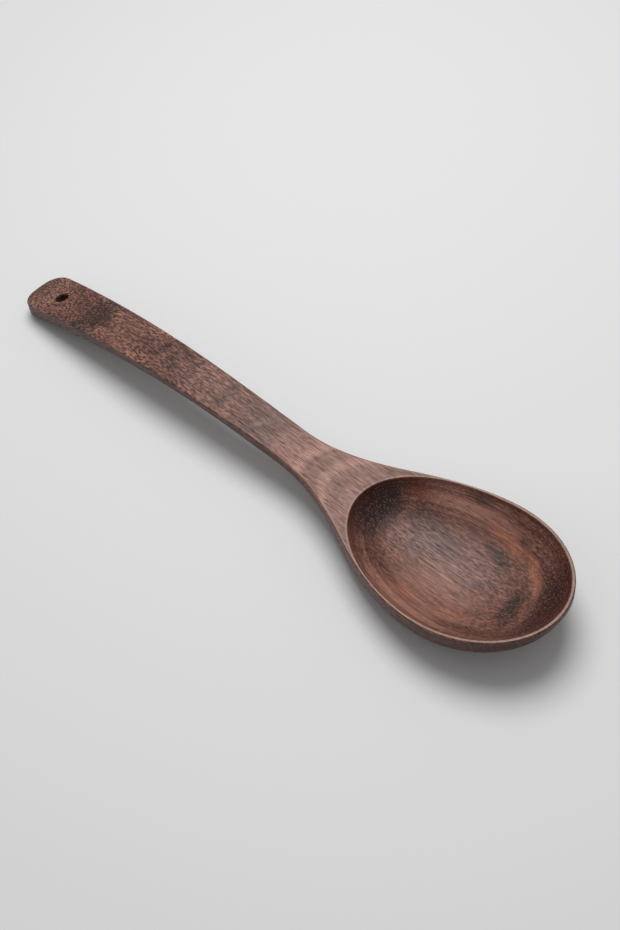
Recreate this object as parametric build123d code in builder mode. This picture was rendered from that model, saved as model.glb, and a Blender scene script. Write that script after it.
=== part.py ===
from build123d import *
from math import atan, cos, hypot, inf, radians, sin, sqrt
import os

os.makedirs("parts", exist_ok=True)

# A carved wooden spoon, lying as it rests on a table.
# X runs from the handle's end to the bowl's tip, and Z is up from the table.
# A distance is measured along X from the handle's end.

# Outline, seen from above
overall_length = 320.0
handle_end_width = 25.6
handle_end_corner = 9.5
handle_end_bow = 2.4
neck_width = 18.2
neck_from_tip = 141.0
shoulder_width = 45.6
shoulder_from_tip = 92.0
bowl_width = 70.4
bowl_widest_from_tip = 45.2

# Top line, seen from the side
crest_height = 23.2
dip_height = 17.9
dip_from_tip = 80.0
tip_height = 25.8

# Thickness of the handle, straight down from the top line
end_thickness = 8.4
thin_thickness = 4.8
heel_thickness = 6.8
heel_from_tip = 120.0

# Underside. Its form is cut off at the outline, so it starts out wider than the handle by one
# run, and leaves a steep band under the bowl's rim by another
keel_centre_from_tip = 50.0
round_from_tip = 135.0
handle_run = 12.0
band_run = 0.6

# Hollow of the bowl
side_land = 1.6
shoulder_land = 1.25
tip_land = 1.7
floor_thickness = 3.3
hollow_lift = 4.3

# Hanging hole, square to the handle's top
hole_radius = 3.25
hole_from_end = 20.0
hole_chamfer = 0.8

# Eased edges
arris_chamfer = 0.5
lip_chamfer = 0.3
under_radius = 1.2

# One overrun serves all cuts
overrun = 5.0

# Slopes, as shares of the run: the outline's flare at the shoulders, and the rise of the rim
flare_share = 0.48
rise_share = 0.115

# Places along the handle: the top line's crest between the end and the dip, and the thinnest
# place between the end and the heel
crest_share = 0.48
thin_share = 0.7

# Squareness of the underside's sections, as shares of the way to a square corner
handle_fullness_share = 0.88
bowl_fullness_share = 0.8


def blend_poles(start, finish):
    """Bezier poles of a smooth curve between two (distance, height, slope) stations."""
    third = (finish[0] - start[0]) / 3
    return [
        (start[0], start[1]),
        (start[0] + third, start[1] + start[2] * third),
        (finish[0] - third, finish[1] - finish[2] * third),
        (finish[0], finish[1]),
    ]


def blend_height(stations, distance):
    """Height at one distance of the curve that blend_poles draws from station to station."""
    spans = list(zip(stations, stations[1:]))
    start, finish = next((span for span in spans if distance <= span[1][0]), spans[-1])
    share = (distance - start[0]) / (finish[0] - start[0])
    first, second, third, fourth = [height for _, height in blend_poles(start, finish)]
    rest = 1 - share
    return first * rest**3 + 3 * share * rest * (second * rest + third * share) + fourth * share**3


# Stations, measured from the handle's end
neck_from_end = overall_length - neck_from_tip
heel_from_end = overall_length - heel_from_tip
shoulder_from_end = overall_length - shoulder_from_tip
dip_from_end = overall_length - dip_from_tip
bowl_widest = overall_length - bowl_widest_from_tip
crest_from_end = crest_share * dip_from_end

# The handle's rounded lower end touches the table, which sets the slope of the arched top line
end_slope = 0
for _ in range(20):
    end_height = end_thickness - under_radius * (end_slope + hypot(end_slope, 1) - 1)
    end_slope = 2 * (crest_height - end_height) / crest_from_end

top_stations = [
    (0, end_height, end_slope),
    (crest_from_end, crest_height, 0),
    (dip_from_end, dip_height, 0),
    (overall_length, tip_height, rise_share),
]


def top_height(distance):
    return blend_height(top_stations, distance)


def rim_height(distance):
    """Height of the straight sloping rim, which the bowl hangs from."""
    return tip_height - rise_share * (overall_length - distance)


# The outline tapers along the handle and then flares through the shoulders to the bowl
taper = (neck_width - handle_end_width) / 2 / neck_from_end
flank_stations = [
    (0, handle_end_width / 2, taper),
    (neck_from_end, neck_width / 2, taper),
    (shoulder_from_end, shoulder_width / 2, flare_share),
    (bowl_widest, bowl_width / 2, 0),
]

# The bowl's keel is half an ellipse that hangs from the sloping rim and just meets the table
keel_centre = overall_length - keel_centre_from_tip
keel_run = keel_centre_from_tip + band_run
keel_drop = sqrt(rim_height(keel_centre) ** 2 - (rise_share * keel_run) ** 2)
table_contact = keel_centre - rise_share * keel_run**2 / rim_height(keel_centre)
thickness_stations = [
    (0, end_thickness, 0),
    (thin_share * heel_from_end, thin_thickness, 0),
    (heel_from_end, heel_thickness, 0),
]
heel_stations = [
    (heel_from_end, top_height(heel_from_end) - heel_thickness, 0),
    (table_contact, 0, 0),
]


def keel_height(distance):
    """Height of the middle of the underside."""
    if distance >= table_contact:
        reach = (distance - keel_centre) / keel_run
        return rim_height(distance) - keel_drop * sqrt(1 - reach**2)
    if distance >= heel_from_end:
        return blend_height(heel_stations, distance)
    return top_height(distance) - blend_height(thickness_stations, distance)


def from_handle_to_bowl(handle_value, bowl_value, distance):
    """A value of the underside that changes between the handle and the bowl."""
    start = overall_length - round_from_tip
    stations = [(start, handle_value, 0), (table_contact, bowl_value, 0)]
    return blend_height(stations, min(max(distance, start), table_contact))


def half_width(distance):
    """Half width of the underside's form, which stands out past the outline."""
    if distance <= bowl_widest:
        run = from_handle_to_bowl(handle_run, band_run, distance)
        return blend_height(flank_stations, distance) + run
    reach = (distance - bowl_widest) / (bowl_widest_from_tip + band_run)
    return (bowl_width / 2 + band_run) * sqrt(1 - reach**2)


# Distances of the underside's sections, close together where the form turns fastest
handle_shares = [-0.02, 0, 0.02, 0.06, 0.12, 0.2, 0.3, 0.4, 0.5, 0.6, 0.7, 0.8, 0.9, 0.95, 1]
shoulder_shares = [0.15, 0.3, 0.45, 0.6, 0.75, 0.9]
tip_angles = [0, 15, 30, 43, 54, 63, 70, 76, 81]
tip_past_share = 0.35
section_distances = [share * heel_from_end for share in handle_shares]
section_distances += [heel_from_end + share * (bowl_widest - heel_from_end) for share in shoulder_shares]
section_distances += [bowl_widest + bowl_widest_from_tip * sin(radians(angle)) for angle in tip_angles]
section_distances += [overall_length + tip_past_share * band_run]
ceiling = max(crest_height, tip_height) + overrun

# Planes of the outline, below the spoon, and of the top line, beside it. The part's origin is
# on the table under the middle of the length
handle_end = -overall_length / 2
below = Plane(origin=(handle_end, 0, -overrun), x_dir=(1, 0, 0), z_dir=(0, 0, 1))
beside = Plane(origin=(handle_end, bowl_width, 0), x_dir=(1, 0, 0), z_dir=(0, -1, 0))
on_top = (crest_from_end + handle_end, 0, crest_height)
on_table = (table_contact + handle_end, 0, 0)

# The scoop lies square to the sloping rim. Its two halves meet where the bowl is widest
rim_tilt = atan(rise_share)
scoop_plane = Plane(
    origin=(
        bowl_widest + handle_end - hollow_lift * sin(rim_tilt),
        0,
        rim_height(bowl_widest) + hollow_lift * cos(rim_tilt),
    ),
    x_dir=(cos(rim_tilt), 0, sin(rim_tilt)),
    z_dir=(-sin(rim_tilt), 0, cos(rim_tilt)),
)
scoop_drop = (scoop_plane.origin.Z - keel_height(bowl_widest) - floor_thickness) / cos(rim_tilt)


def scoop_place(distance):
    """Place of the top line's point at one distance, along the scoop and up from its middle."""
    place = Vector(distance + handle_end, 0, top_height(distance))
    point = scoop_plane.to_local_coords(place)
    return abs(point.X), min(point.Z, 0)


scoop_half_width = bowl_width / 2 - side_land
scoop_half_width /= sqrt(1 - (scoop_place(bowl_widest)[1] / scoop_drop) ** 2)


def scoop_reach(distance, half):
    """Half length of a scoop whose mouth is as wide as twice that half at one distance."""
    along, up = scoop_place(distance)
    room = 1 - (up / scoop_drop) ** 2 - (half / scoop_half_width) ** 2
    return along / sqrt(room) if room > 0 else inf


# The neck's half of the scoop is as long as the shoulders' land lets it be
tip_reach = scoop_reach(overall_length - tip_land, 0)
land_shares = [0, 0.1, 0.2, 0.3, 0.4, 0.5, 0.6, 0.7, 0.8]
land_distances = [shoulder_from_end + share * (bowl_widest - shoulder_from_end) for share in land_shares]
neck_reach = min(
    scoop_reach(distance, blend_height(flank_stations, distance) - shoulder_land)
    for distance in land_distances
)

ball = Sphere(scoop_drop).rotate(Axis.X, 90)
tip_half = split(ball, bisect_by=Plane.YZ, keep=Keep.TOP)
neck_half = split(ball, bisect_by=Plane.YZ, keep=Keep.BOTTOM)
side_stretch = scoop_half_width / scoop_drop
scoop_ball = scale(tip_half, by=(tip_reach / scoop_drop, side_stretch, 1))
scoop_ball += scale(neck_half, by=(neck_reach / scoop_drop, side_stretch, 1))
scoop_bottom = split(scoop_ball, bisect_by=Plane.XY, keep=Keep.BOTTOM)
scoop_mouth = scoop_bottom.faces().filter_by(Plane.XY)
scoop = scoop_plane * (scoop_bottom + extrude(scoop_mouth, amount=overrun, dir=(0, 0, 1)))

# The hanging hole is square to the top of the handle
hole_tilt = atan(end_slope * (1 - hole_from_end / crest_from_end))
hole_plane = Plane(
    origin=(hole_from_end + handle_end, 0, top_height(hole_from_end)),
    x_dir=(cos(hole_tilt), 0, sin(hole_tilt)),
    z_dir=(-sin(hole_tilt), 0, cos(hole_tilt)),
)

with BuildPart() as spoon:
    # Underside, flat along the handle and round in the bowl
    for distance in section_distances:
        half = half_width(distance)
        spring = top_height(distance)
        keel = keel_height(distance)
        fullness = from_handle_to_bowl(handle_fullness_share, bowl_fullness_share, distance)
        corner = spring - (spring - keel) * fullness
        reach = half * fullness
        with BuildSketch(Plane.YZ.offset(distance + handle_end)):
            with BuildLine():
                Polyline((-half, spring), (-half, ceiling), (half, ceiling), (half, spring))
                Bezier((half, spring), (half, corner), (reach, keel), (0, keel))
                Bezier((0, keel), (-reach, keel), (-half, corner), (-half, spring))
            make_face()
    loft()

    # Outline, with the handle's rounded end
    with BuildSketch(below) as outline:
        with BuildLine():
            flank = blend_height(flank_stations, handle_end_bow)
            ThreePointArc((handle_end_bow, -flank), (0, 0), (handle_end_bow, flank))
            for side in (1, -1):
                Line((handle_end_bow, side * flank), (neck_from_end, side * neck_width / 2))
                for start, finish in zip(flank_stations[1:], flank_stations[2:]):
                    poles = blend_poles(start, finish)
                    Bezier(*[(distance, side * height) for distance, height in poles])
            EllipticalCenterArc(
                (bowl_widest, 0), bowl_widest_from_tip, bowl_width / 2, -90, arc_size=180
            )
        make_face()
        fillet(outline.vertices().sort_by(Axis.X)[:2], handle_end_corner)
    extrude(amount=overrun + ceiling, mode=Mode.INTERSECT)

    # Top line: the arched handle, the dip at the neck and the rising rim
    with BuildSketch(beside):
        with BuildLine():
            for start, finish in zip(top_stations, top_stations[1:]):
                Bezier(*blend_poles(start, finish))
            Polyline(
                (overall_length, tip_height),
                (overall_length + overrun, tip_height + rise_share * overrun),
                (overall_length + overrun, -overrun),
                (-overrun, -overrun),
                (-overrun, end_height - end_slope * overrun),
                (0, end_height),
            )
        make_face()
    extrude(amount=2 * bowl_width, mode=Mode.INTERSECT)

    # Eased edges all round, above and below
    chamfer(spoon.faces().sort_by_distance(on_top)[0].outer_wire().edges(), arris_chamfer)
    fillet(spoon.faces().sort_by_distance(on_table)[0].outer_wire().edges(), under_radius)

    # Carved hollow with an eased lip
    add(scoop, mode=Mode.SUBTRACT)
    chamfer(spoon.faces().sort_by_distance(on_top)[0].inner_wires()[0].edges(), lip_chamfer)

    # Hanging hole with eased mouths
    with Locations(hole_plane):
        Hole(hole_radius)
    mouths = spoon.edges(Select.LAST).filter_by(GeomType.LINE, reverse=True)
    chamfer(mouths, hole_chamfer)

spoon.part.label = "spoon"
export_step(spoon.part, "parts/spoon.step")
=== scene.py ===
import math

import bmesh
import bpy
import numpy as np
from mathutils import Matrix, Vector, kdtree, noise


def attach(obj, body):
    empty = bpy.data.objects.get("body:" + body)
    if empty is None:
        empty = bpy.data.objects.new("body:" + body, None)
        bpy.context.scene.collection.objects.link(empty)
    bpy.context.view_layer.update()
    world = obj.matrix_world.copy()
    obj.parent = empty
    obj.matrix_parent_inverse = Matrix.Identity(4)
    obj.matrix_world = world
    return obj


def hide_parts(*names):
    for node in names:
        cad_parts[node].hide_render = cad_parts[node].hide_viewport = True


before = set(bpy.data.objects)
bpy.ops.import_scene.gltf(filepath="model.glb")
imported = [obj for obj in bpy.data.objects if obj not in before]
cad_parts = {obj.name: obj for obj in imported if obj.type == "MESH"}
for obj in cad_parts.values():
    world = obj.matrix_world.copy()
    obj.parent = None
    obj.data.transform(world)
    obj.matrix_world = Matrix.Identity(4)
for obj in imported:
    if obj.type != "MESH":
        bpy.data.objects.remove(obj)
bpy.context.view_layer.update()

# The spoon lies along X, with its bowl towards +X, and Z is up from the table. Blender works in
# metres. The sizes of the wood's grain are easier to read in millimetres, so they are in those
MM = 0.001
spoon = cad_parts["spoon"]

# Camera, solved from the spoon's outline in the photograph
IMAGE_HEIGHT = 930
FOCAL_PIXELS = 1284.1
SENSOR = 36.0
CAMERA_PLACE = Vector((0.2942, -0.2232, 0.4426))
CAMERA_AHEAD = Vector((-0.4806, 0.4045, -0.7781))
CAMERA_RIGHT = Vector((0.7257, 0.6815, -0.0939))

# Light and floor
KEY_PLACE = Vector((-0.2, 0.28, 0.95))
KEY_SIZE = 0.7
KEY_POWER = 7.0
WORLD_STRENGTH = 0.32
FLOOR_SIZE = 8.0
FLOOR_SHADE = 0.8
FLOOR_ROUGHNESS = 0.6

# Fine copy of the spoon: its even quads, and how many triangles it may end with
WELD = 0.001 * MM
VOXEL = 0.38 * MM
MOST_TRIANGLES = 190000

# Edges: those sharper than an angle are followed by points, and wear reaches a way from them
SHARP_ANGLE = math.radians(24)
EDGE_STEP = 0.5 * MM
EDGE_REACH = 1.3 * MM
EDGE_POLISH = 0.45 * MM

# Smoothing. A pass shrinks the form and swells it back, so the form keeps its size
SHRINK = 0.5
SWELL = -0.53
EDGE_PASSES = 2
FACE_PASSES = 30

# Use has rounded the handle, more and more towards its end
GRIP_PASSES = 10
GRIP_START = -20 * MM
GRIP_END = -120 * MM

# Marks of the scraper
TOOL_MARK_LENGTH = 16 * MM
TOOL_MARK_DEPTH = 0.05 * MM


def colour(red, green, blue):
    """Linear colour of an ordinary 0 to 255 screen colour."""
    shares = [value / 255 for value in (red, green, blue)]
    linear = [
        share / 12.92 if share <= 0.04045 else ((share + 0.055) / 1.055) ** 2.4
        for share in shares
    ]
    return (*linear, 1.0)


# Wood colours. RING_SHADE is what the wood's own colour is multiplied by
HEARTWOOD = colour(122, 82, 71)
SALMON = colour(172, 120, 102)
# Pale pink, used as painted sheen and light on the neck and in the bowl
PINK_AND_PAINTED_LIGHT = colour(206, 154, 136)
# Grey ash, for grey marks and bands, also painted grey sheen on the bowl's floor
ASH_AND_PAINTED_SHEEN = colour(70, 58, 55)
# Charcoal, for dark bands and marks, also painted shade on the hollow's wall towards the handle
CHARCOAL_AND_PAINTED_SHADE = colour(22, 18, 18)
RING_SHADE = (0.41, 0.32, 0.3, 1.0)
# Dark red of end grain and the bowl's tip, also used as painted shade on the sides and underside
DEEP_RED_AND_PAINTED_SHADE = colour(60, 25, 20)
ORANGE = colour(216, 148, 118)
RUST = colour(150, 72, 52)
VESSEL = colour(34, 18, 15)
# Painted highlight along the rim's top
PAINTED_RIM_HIGHLIGHT = colour(190, 158, 142)
PALE_DOT = colour(184, 134, 116)
DARK_DOT = colour(66, 40, 35)

# Waves of the grain: the length of each along X, Y and Z and how far it moves the grain, in
# millimetres. A noise is 0.5 on average
GRAIN_BEND = (110, 38, 38)
GRAIN_SWAY = (0, 3.0, 2.4)
GRAIN_RIPPLE = (8, 2.4, 2.4)
GRAIN_SHIVER = (0, 0.8, 0.8)
NOISE_MIDDLE = (0.5, 0.5, 0.5)

# Sizes of the fibres, pores and dots along X, Y and Z, in millimetres
STREAK = (34, 1.0, 1.0)
FIBRE = (14, 0.5, 0.5)
LONG_VESSEL = (26, 0.62, 0.62)
SHORT_VESSEL = (10, 0.5, 0.5)
FLECK = (14, 0.62, 0.62)
FLECK_OFFSET = (31.7, 5.3, 2.9)
SPECKLE = (2.4, 0.85, 0.85)
STREAK_DETAIL = 3.0

# Growth rings: their steps in millimetres, their arch across the board and tilt along it
RING_STEP = 2.1
FINE_RING_STEP = 0.7
BROAD_BAND = 8.0
RING_CURVE = 0.006
RING_TILT = 0.1

# Towards the handle's end the fibres run out of the top, so its pores are cut to dots
RUN_OUT_START = -70
RUN_OUT = 0.006
SPECKLE_PLACES = (-100, 30)
SPECKLE_SHARES = (0.95, 0.35)

# Between which two values of its noise or distance each layer of the wood fades
STREAK_FADE = (0.38, 0.68)
RING_FADE = (0.42, 0.62)
FINE_RING_FADE = (0.38, 0.62)
BAND_FADE = (0.35, 0.65)
FIBRE_FADE = (0.35, 0.65)
SPECKLE_FADE = (0.4, 0.6)
PORE_FADE = (0.2, 0.42)
PATCH_FADE = (0.75, 1.65)

# How strong each layer is
RING_SHARE = 0.55
FINE_RING_SHARE = 0.4
BAND_SHARE = 0.25
FIBRE_SHARE = 0.4
SHORT_VESSEL_SHARE = 0.8
VESSEL_SHARE = 0.5
FLECK_SHARE = 0.35
RAGGED_SHARE = 0.45

# Tints by how far the surface faces along X or up: darker end grain, painted shade on the sides
# and underside, and the rim's painted highlight, which goes by its place along X too
END_GRAIN_FACING = (0.2, 0.9)
END_GRAIN_SHARE = 0.7
# Painted shade: how far the sides and underside are painted dark red
SIDE_PAINTED_SHADE_FACING = (0.05, 0.3)
SIDE_PAINTED_SHADE_SHARE = 0.78
# Where the rim's painted highlight goes: facing up, and by its place along X
RIM_HIGHLIGHT_FACING = (0.85, 0.97)
RIM_HIGHLIGHT_PLACES = (40, 70)
RIM_HIGHLIGHT_SHARES = (0.1, 0.7)

# Gloss and relief
GLOSS_FADE = (0.3, 0.7)
ROUGHNESSES = (0.42, 0.36)
VESSEL_ROUGHNESS = 0.2
EDGE_SMOOTHNESS = 0.06
IOR = 1.42
VESSEL_DEPTH = 0.02 * MM
FIBRE_DEPTH = 0.008 * MM

# Coloured bands and patches of the wood: the centre and half sizes of each in millimetres,
# its colour and how strong it is. Some patches are painted sheen, light or shade, as noted at each
PATCHES = (
    ((-90, 0, 20), (16, 60, 30), HEARTWOOD, 0.5),
    ((-110, 0, 18), (10, 60, 30), CHARCOAL_AND_PAINTED_SHADE, 0.65),
    ((3, 0, 21), (6, 60, 30), ASH_AND_PAINTED_SHEEN, 0.3),
    # Neck and shoulder: partly the wood's paler tone, partly painted sheen
    ((52, 0, 19), (46, 44, 7), PINK_AND_PAINTED_LIGHT, 0.7),
    # Hollow's wall towards the handle: partly a dark grey mark, partly painted shade
    ((65, 3, 12), (12, 20, 9), CHARCOAL_AND_PAINTED_SHADE, 1.0),
    # Far inner wall: painted light
    ((92, 27, 13), (28, 10, 8), PINK_AND_PAINTED_LIGHT, 0.75),
    # Bowl's floor: painted grey sheen, in these two
    ((86, 12, 7), (13, 7, 4), ASH_AND_PAINTED_SHEEN, 0.5),
    ((98, 8, 5), (9, 5, 3), ASH_AND_PAINTED_SHEEN, 0.4),
    ((73, 19, 14.5), (8, 5, 5), RUST, 0.7),
    ((98, 30.5, 15.5), (8, 4, 3), ASH_AND_PAINTED_SHEEN, 0.6),
    # Bowl's floor: painted sheen
    ((108, -9, 5), (24, 12, 4), PINK_AND_PAINTED_LIGHT, 0.5),
    ((118, 23.5, 10.8), (15, 7, 1.5), ORANGE, 1.0),
    ((133, 18.5, 12.3), (9, 7, 1.5), ORANGE, 1.0),
    ((140, 12, 13), (5, 8, 1.5), ORANGE, 0.7),
    ((118, 16.5, 7.5), (11, 6, 1.2), ASH_AND_PAINTED_SHEEN, 0.8),
    ((137, 1, 9.9), (6, 11, 2.6), CHARCOAL_AND_PAINTED_SHADE, 0.75),
    ((140, -8, 11.5), (4, 8, 2), CHARCOAL_AND_PAINTED_SHADE, 0.6),
    # Near inner wall: partly the wood's paler tone, partly painted light
    ((103, -26, 11), (28, 10, 8), PINK_AND_PAINTED_LIGHT, 0.8),
    ((99.6, -22, 8.4), (7, 4, 3), ORANGE, 0.7),
    ((120, -16, 8), (9, 5, 3), ORANGE, 0.4),
    ((124, -22, 11.5), (16, 7, 1.6), ASH_AND_PAINTED_SHEEN, 0.35),
    ((150, 7, 18), (13, 24, 8), DEEP_RED_AND_PAINTED_SHADE, 0.9),
)


def linked_object(name, data):
    """A new object in the scene."""
    made = bpy.data.objects.new(name, data)
    bpy.context.scene.collection.objects.link(made)
    return made


def welded_copy(node):
    """A copy of a CAD mesh with its faces joined, and points along its sharp edges."""
    mesh = node.data.copy()
    joined = bmesh.new()
    joined.from_mesh(mesh)
    bmesh.ops.remove_doubles(joined, verts=joined.verts, dist=WELD)
    points = []
    for edge in joined.edges:
        if len(edge.link_faces) == 2 and edge.calc_face_angle() > SHARP_ANGLE:
            start, end = (vertex.co for vertex in edge.verts)
            steps = max(1, math.ceil((end - start).length / EDGE_STEP))
            points += [start.lerp(end, step / steps) for step in range(steps + 1)]
    joined.to_mesh(mesh)
    joined.free()
    mesh.materials.clear()
    return mesh, points


def modified(mesh, kind, **settings):
    """The mesh that one modifier makes of another."""
    holder = linked_object("holder", mesh)
    modifier = holder.modifiers.new(kind.lower(), kind)
    for name, value in settings.items():
        setattr(modifier, name, value)
    depsgraph = bpy.context.evaluated_depsgraph_get()
    made = bpy.data.meshes.new_from_object(holder.evaluated_get(depsgraph))
    bpy.data.objects.remove(holder)
    return made


def even_mesh(mesh):
    """The same surface as even small quads, with its edges kept crisp."""
    even = modified(mesh, "REMESH", mode="VOXEL", voxel_size=VOXEL)
    surface = linked_object("surface", mesh)
    crisp = modified(even, "SHRINKWRAP", target=surface, wrap_method="NEAREST_SURFACEPOINT")
    bpy.data.objects.remove(surface)
    bpy.data.meshes.remove(even)
    bpy.data.meshes.remove(mesh)
    return crisp


def distance_to_edges(mesh, points):
    """How far each vertex is from the nearest sharp edge."""
    tree = kdtree.KDTree(len(points))
    for index, point in enumerate(points):
        tree.insert(point, index)
    tree.balance()
    return np.array([tree.find(vertex.co)[2] for vertex in mesh.vertices])


def rows_of(elements, name, width, kind=float):
    """One property of a mesh's vertices or edges, with a row for each."""
    values = np.empty(len(elements) * width, kind)
    elements.foreach_get(name, values)
    return values.reshape(-1, width)


def move_vertices(mesh, places):
    """Puts each vertex of a mesh in its new place."""
    mesh.vertices.foreach_set("co", places.ravel())
    mesh.update()


def smoothed(places, ends, strength, passes, steps=(SHRINK, SWELL)):
    """Vertex places eased towards their neighbours, each as far as its strength."""
    count = len(places)
    neighbours = np.bincount(ends.ravel(), minlength=count)[:, None]
    first, second = ends.T
    for _ in range(passes):
        for step in steps:
            total = np.empty_like(places)
            for axis in range(3):
                column = places[:, axis]
                total[:, axis] = np.bincount(first, column[second], count)
                total[:, axis] += np.bincount(second, column[first], count)
            places = places + step * strength[:, None] * (total / neighbours - places)
    return places


def worn_mesh(node):
    """The carved spoon with its edges softened and faint marks of the scraper."""
    mesh, points = welded_copy(node)
    mesh = even_mesh(mesh)
    away = np.clip(distance_to_edges(mesh, points) / EDGE_REACH, 0, 1)
    places = rows_of(mesh.vertices, "co", 3)
    ends = rows_of(mesh.edges, "vertices", 2, int)
    places = smoothed(places, ends, np.ones(len(places)), EDGE_PASSES)
    places = smoothed(places, ends, away**2, FACE_PASSES)
    grip = np.clip((places[:, 0] - GRIP_START) / (GRIP_END - GRIP_START), 0, 1)
    places = smoothed(places, ends, grip, GRIP_PASSES, steps=(SHRINK,))
    move_vertices(mesh, places)

    # The marks only go inwards
    marks = np.array([noise.noise(Vector(place) / TOOL_MARK_LENGTH) for place in places])
    depth = TOOL_MARK_DEPTH * away * (marks - marks.max())
    move_vertices(mesh, places + rows_of(mesh.vertices, "normal", 3) * depth[:, None])

    # Each quad is two triangles
    mesh = modified(mesh, "DECIMATE", ratio=min(1, MOST_TRIANGLES / (2 * len(mesh.polygons))))
    nearness = np.exp(-((distance_to_edges(mesh, points) / EDGE_POLISH) ** 2))
    mesh.attributes.new("edge", "FLOAT", "POINT").data.foreach_set("value", nearness)
    mesh.shade_smooth()
    return mesh


class Graph:
    """Short calls for the nodes of one material. Most return an output socket."""

    def __init__(self, material):
        material.use_nodes = True
        self.tree = material.node_tree
        self.tree.nodes.clear()

    def node(self, kind, inputs=None, **settings):
        made = self.tree.nodes.new(kind)
        for name, value in settings.items():
            setattr(made, name, value)
        for name, value in (inputs or {}).items():
            socket = made.inputs[name]
            if isinstance(value, bpy.types.NodeSocket):
                self.tree.links.new(value, socket)
            else:
                socket.default_value = value
        return made

    def math(self, operation, first, second=0.0):
        inputs = {0: first, 1: second}
        return self.node("ShaderNodeMath", inputs, operation=operation).outputs[0]

    def vector(self, operation, first, second):
        inputs = {0: first, 1: second}
        return self.node("ShaderNodeVectorMath", inputs, operation=operation).outputs[0]

    def length(self, vector):
        return self.node("ShaderNodeVectorMath", {0: vector}, operation="LENGTH").outputs["Value"]

    def blend(self, share, first, second, mode="MIX"):
        """Mix of two colours. The node's inputs 6 and 7 and its output 2 are the coloured ones."""
        inputs = {0: share, 6: first, 7: second}
        return self.node("ShaderNodeMix", inputs, data_type="RGBA", blend_type=mode).outputs[2]

    def noise(self, place, size, detail=2.0, output=0):
        place = self.vector("DIVIDE", place, size)
        inputs = {"Vector": place, "Scale": 1.0, "Detail": detail}
        return self.node("ShaderNodeTexNoise", inputs).outputs[output]

    def lines(self, distance, step, detail=1.0):
        """Noise along one distance only."""
        distance = self.math("DIVIDE", distance, step)
        inputs = {"W": distance, "Scale": 1.0, "Detail": detail}
        return self.node("ShaderNodeTexNoise", inputs, noise_dimensions="1D").outputs[0]

    def spots(self, place, size, share=1.0):
        """Scattered spots, as strong as the share in their middles."""
        inputs = {"Vector": self.vector("DIVIDE", place, size), "Scale": 1.0, "Randomness": 1.0}
        distance = self.node("ShaderNodeTexVoronoi", inputs).outputs["Distance"]
        return self.between(distance, PORE_FADE, share, 0.0)

    def between(self, value, limits, first=0.0, last=1.0):
        """Smooth step of a value, from first at the low limit to last at the high one."""
        names = ("Value", "From Min", "From Max", "To Min", "To Max")
        inputs = dict(zip(names, (value, *limits, first, last)))
        return self.node("ShaderNodeMapRange", inputs, interpolation_type="SMOOTHSTEP").outputs[0]

    def finish(self, inputs):
        """The surface itself, from its colour, roughness and relief."""
        shader = self.node("ShaderNodeBsdfPrincipled", inputs)
        self.node("ShaderNodeOutputMaterial", {"Surface": shader.outputs[0]})


def swayed_grain(graph):
    """Places in the wood, in millimetres. Its grain sways along the board, its fibres ripple."""
    place = graph.node("ShaderNodeTexCoord").outputs["Object"]
    place = graph.vector("DIVIDE", place, (MM, MM, MM))
    grain = place
    for size, reach in ((GRAIN_BEND, GRAIN_SWAY), (GRAIN_RIPPLE, GRAIN_SHIVER)):
        sway = graph.vector("SUBTRACT", graph.noise(place, size, output="Color"), NOISE_MIDDLE)
        grain = graph.vector("ADD", grain, graph.vector("MULTIPLY", sway, reach))
    return grain


def growth_layer(graph, along, across, height):
    """Height in the growth rings, in millimetres. They lie nearly flat in the board and arch
    across it, so the carved hollow cuts them into ovals."""
    arch = graph.math("MULTIPLY", graph.math("MULTIPLY", across, across), RING_CURVE)
    layer = graph.math("ADD", height, arch)
    return graph.math("SUBTRACT", layer, graph.math("MULTIPLY", along, RING_TILT))


def run_out_grain(graph, grain, along):
    """The grain with its fibres run out of the top towards the handle's end."""
    run_out = graph.math("MINIMUM", graph.math("SUBTRACT", along, RUN_OUT_START), 0.0)
    run_out = graph.math("MULTIPLY", graph.math("MULTIPLY", run_out, run_out), RUN_OUT)
    run_out = graph.node("ShaderNodeCombineXYZ", {2: run_out}).outputs[0]
    return graph.vector("ADD", grain, run_out)


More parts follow.
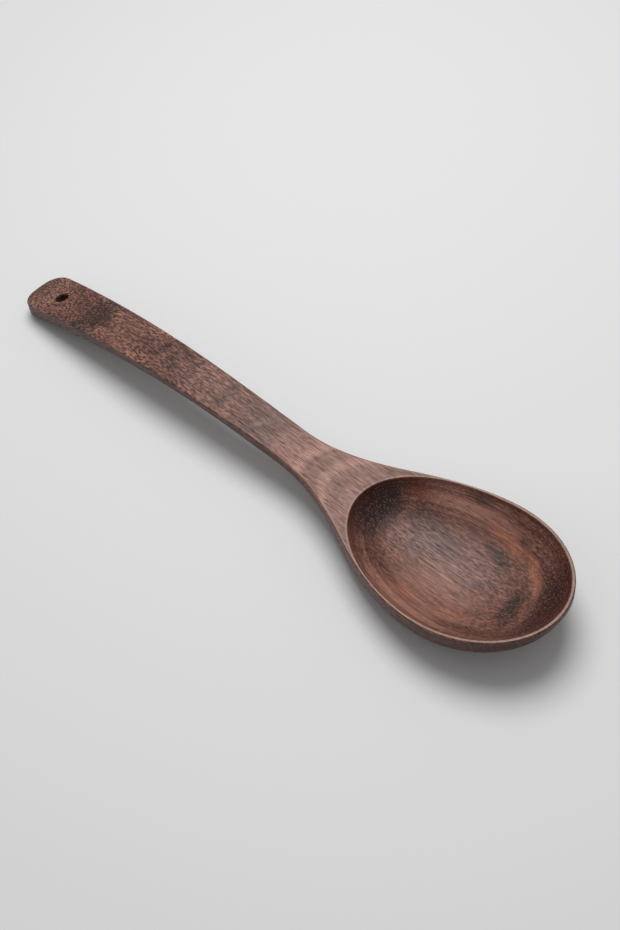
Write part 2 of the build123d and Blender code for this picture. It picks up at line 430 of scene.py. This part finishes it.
def wood_material():
    """Dark hardwood with open pores, oiled, with painted sheen, light and shade in some patches
    and on its sides, and a painted highlight on its rim.
    """
    material = bpy.data.materials.new("dark_open_pored_wood")
    graph = Graph(material)
    grain = swayed_grain(graph)
    along, across, height = graph.node("ShaderNodeSeparateXYZ", {0: grain}).outputs
    layer = growth_layer(graph, along, across, height)
    cells = run_out_grain(graph, grain, along)

    fine_rings = graph.lines(layer, FINE_RING_STEP)
    streaks = graph.noise(grain, STREAK, STREAK_DETAIL)
    fibres = graph.noise(cells, FIBRE)
    long_vessels = graph.spots(cells, LONG_VESSEL)
    short_vessels = graph.spots(cells, SHORT_VESSEL, SHORT_VESSEL_SHARE)
    vessels = graph.math("MAXIMUM", long_vessels, short_vessels)
    flecks = graph.spots(graph.vector("ADD", cells, FLECK_OFFSET), FLECK)
    tone = graph.blend(graph.between(streaks, STREAK_FADE), HEARTWOOD, SALMON)

    # Dots where the fibres are cut across
    speckle = graph.between(graph.noise(cells, SPECKLE), SPECKLE_FADE)
    cut_across = graph.between(along, SPECKLE_PLACES, *SPECKLE_SHARES)
    dark_dots = graph.math("MULTIPLY", cut_across, graph.math("SUBTRACT", 1.0, speckle))
    tone = graph.blend(graph.math("MULTIPLY", cut_across, speckle), tone, PALE_DOT)
    tone = graph.blend(dark_dots, tone, DARK_DOT)

    # Patches with ragged borders that follow the grain, some of them painted sheen, light or shade
    ragged = graph.math("MULTIPLY", graph.math("ADD", streaks, fine_rings), RAGGED_SHARE)
    for centre, half_sizes, patch_colour, strength in PATCHES:
        offset = graph.vector("DIVIDE", graph.vector("SUBTRACT", grain, centre), half_sizes)
        reach = graph.math("ADD", graph.length(offset), ragged)
        tone = graph.blend(graph.between(reach, PATCH_FADE, strength, 0.0), tone, patch_colour)

    # Rings and fibres darken whatever colour they run through
    shades = (
        graph.between(graph.lines(layer, RING_STEP), RING_FADE, 0.0, RING_SHARE),
        graph.between(graph.lines(layer, BROAD_BAND, 0.0), BAND_FADE, 0.0, BAND_SHARE),
        graph.between(fine_rings, FINE_RING_FADE, FINE_RING_SHARE, 0.0),
        graph.between(fibres, FIBRE_FADE, FIBRE_SHARE, 0.0),
    )
    for share in shades:
        tone = graph.blend(share, tone, RING_SHADE, "MULTIPLY")

    # End grain drinks more oil and is darker. The sides and underside are painted darker and
    # redder, partly the wood's red tone and partly painted shade
    normal = graph.node("ShaderNodeNewGeometry").outputs["Normal"]
    lengthwise, _, upward = graph.node("ShaderNodeSeparateXYZ", {0: normal}).outputs
    lengthwise = graph.math("ABSOLUTE", lengthwise)
    end_grain = graph.between(lengthwise, END_GRAIN_FACING, 0.0, END_GRAIN_SHARE)
    tone = graph.blend(end_grain, tone, DEEP_RED_AND_PAINTED_SHADE)
    tone = graph.blend(graph.between(upward, SIDE_PAINTED_SHADE_FACING, SIDE_PAINTED_SHADE_SHARE, 0.0), tone, DEEP_RED_AND_PAINTED_SHADE)

    # Open vessels are dark, and those filled with dust are pale
    tone = graph.blend(graph.math("MULTIPLY", vessels, VESSEL_SHARE), tone, VESSEL)
    tone = graph.blend(flecks, tone, graph.blend(FLECK_SHARE, tone, SALMON))

    # Painted highlight: the rim's upward-facing edges are painted pale, more towards the bowl's
    # tip
    edge = graph.node("ShaderNodeAttribute", attribute_name="edge").outputs["Fac"]
    rim_highlight = graph.math("MULTIPLY", edge, graph.between(upward, RIM_HIGHLIGHT_FACING))
    rim_highlight = graph.math("MULTIPLY", rim_highlight, graph.between(along, RIM_HIGHLIGHT_PLACES, *RIM_HIGHLIGHT_SHARES))
    tone = graph.blend(rim_highlight, tone, PAINTED_RIM_HIGHLIGHT)

    roughness = graph.between(streaks, GLOSS_FADE, *ROUGHNESSES)
    roughness = graph.math("ADD", roughness, graph.math("MULTIPLY", vessels, VESSEL_ROUGHNESS))
    roughness = graph.math("SUBTRACT", roughness, graph.math("MULTIPLY", edge, EDGE_SMOOTHNESS))

    inputs = {"Height": vessels, "Distance": VESSEL_DEPTH}
    pits = graph.node("ShaderNodeBump", inputs, invert=True).outputs[0]
    inputs = {"Height": fibres, "Distance": FIBRE_DEPTH, "Normal": pits}
    relief = graph.node("ShaderNodeBump", inputs).outputs[0]
    graph.finish({"Base Color": tone, "Roughness": roughness, "Normal": relief, "IOR": IOR})
    return material


def floor_material():
    """Plain pale paint."""
    material = bpy.data.materials.new("pale_floor")
    shade = (FLOOR_SHADE, FLOOR_SHADE, FLOOR_SHADE, 1.0)
    Graph(material).finish({"Base Color": shade, "Roughness": FLOOR_ROUGHNESS})
    return material


# The spoon
wood = linked_object("carved_spoon", worn_mesh(spoon))
wood.data.materials.append(wood_material())
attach(wood, "root")
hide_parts("spoon")

# Floor
half = FLOOR_SIZE / 2
floor_mesh = bpy.data.meshes.new("floor")
floor_mesh.from_pydata(
    [(-half, -half, 0), (half, -half, 0), (half, half, 0), (-half, half, 0)], [], [(0, 1, 2, 3)]
)
floor_mesh.materials.append(floor_material())
floor = linked_object("floor", floor_mesh)

# Soft light from above and all round
key_lamp = bpy.data.lights.new("softbox", "AREA")
key_lamp.shape = "DISK"
key_lamp.size = KEY_SIZE
key_lamp.energy = KEY_POWER
key = linked_object("softbox", key_lamp)
key.location = KEY_PLACE
key.rotation_euler = (-KEY_PLACE).to_track_quat("-Z", "Y").to_euler()

world = bpy.data.worlds.new("studio")
world.use_nodes = True
background = world.node_tree.nodes["Background"].inputs
background["Strength"].default_value = WORLD_STRENGTH
background["Color"].default_value = (1, 1, 1, 1)
bpy.context.scene.world = world
bpy.context.scene.view_settings.view_transform = "Standard"

# Camera
back = -CAMERA_AHEAD.normalized()
up = back.cross(CAMERA_RIGHT).normalized()
right = up.cross(back)
camera_data = bpy.data.cameras.new("camera")
camera_data.sensor_width = SENSOR
camera_data.lens = FOCAL_PIXELS / IMAGE_HEIGHT * SENSOR
camera = linked_object("camera", camera_data)
turn = Matrix((right, up, back)).transposed()
camera.matrix_world = Matrix.Translation(CAMERA_PLACE) @ turn.to_4x4()
bpy.context.scene.camera = camera
